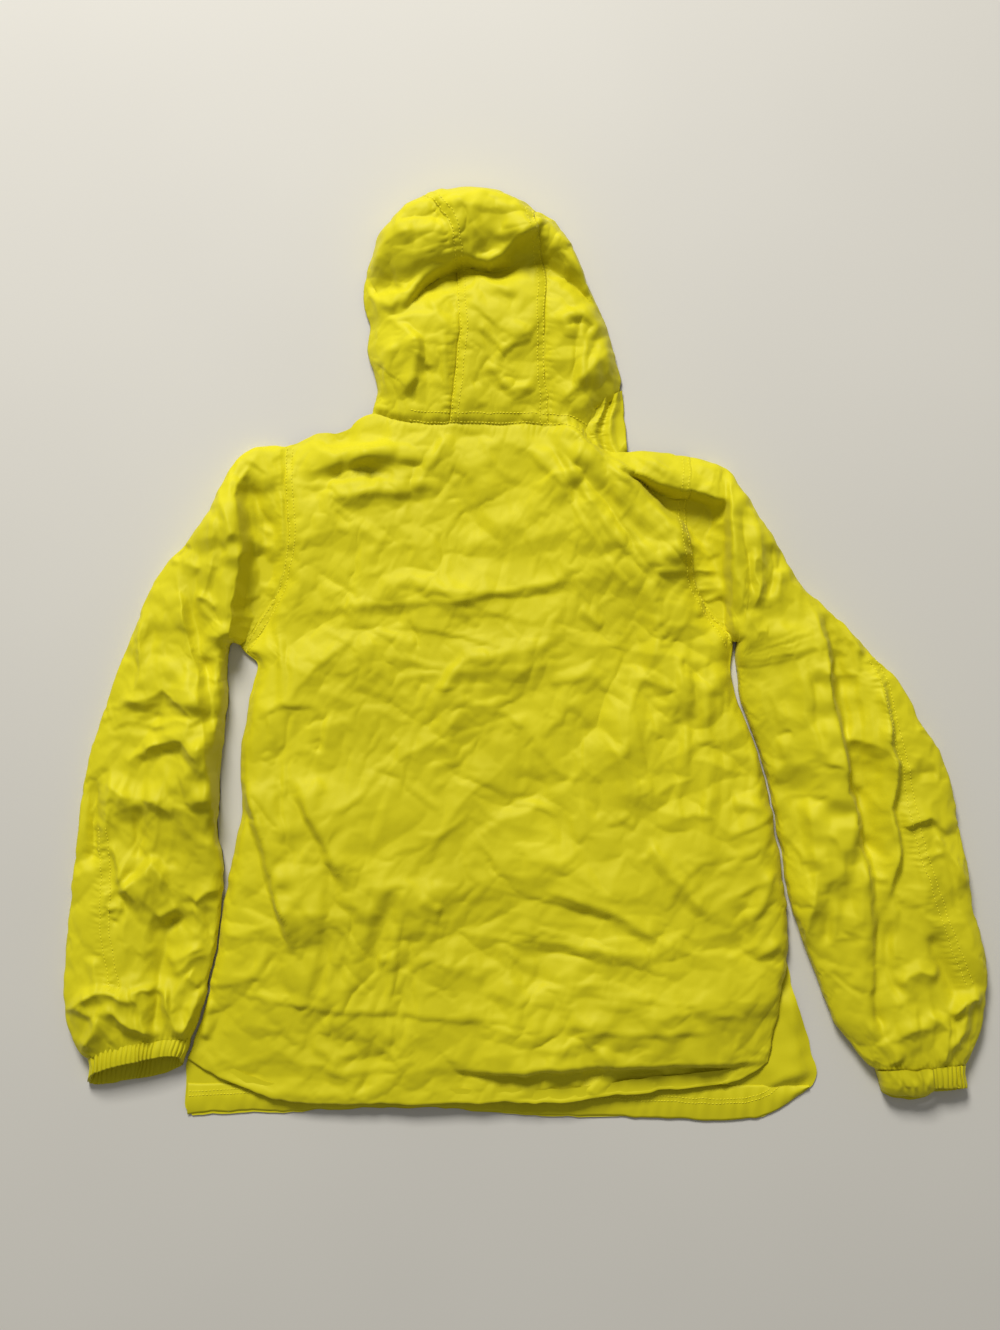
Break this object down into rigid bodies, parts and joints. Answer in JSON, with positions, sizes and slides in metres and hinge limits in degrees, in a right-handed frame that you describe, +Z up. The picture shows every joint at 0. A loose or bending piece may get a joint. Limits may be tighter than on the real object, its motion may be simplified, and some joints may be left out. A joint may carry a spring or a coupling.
{
  "type": "hooded windbreaker jacket",
  "caption": "Thin hooded pullover windbreaker lying flat, back up, with sleeves down, gathered elastic cuffs and a stitched hem casing.",
  "frame": {"origin": "on the surface the jacket lies on, under the middle of its laid-out bounding box", "axes": "+Z up out of the jacket's back, +Y from the hem towards the hood, +X towards the sleeve on the right seen from above"},
  "size_m": [0.925, 0.9368, 0.0567],
  "materials": {
    "shell_cloth": "crisp thin plain-woven nylon with a low sheen, creased, citron yellow",
    "gathered_elastic": "the same nylon gathered over elastic, matt in the folds"
  },
  "bodies": {
    "root": {"front": "shell_cloth", "front_hem": "shell_cloth", "back": "shell_cloth", "sleeve_left": "shell_cloth", "sleeve_right": "shell_cloth", "cuff_left": "gathered_elastic", "cuff_right": "gathered_elastic", "hood_centre": "shell_cloth", "hood_left": "shell_cloth", "hood_right": "shell_cloth", "hood_hem": "shell_cloth"}
  },
  "joints": []
}
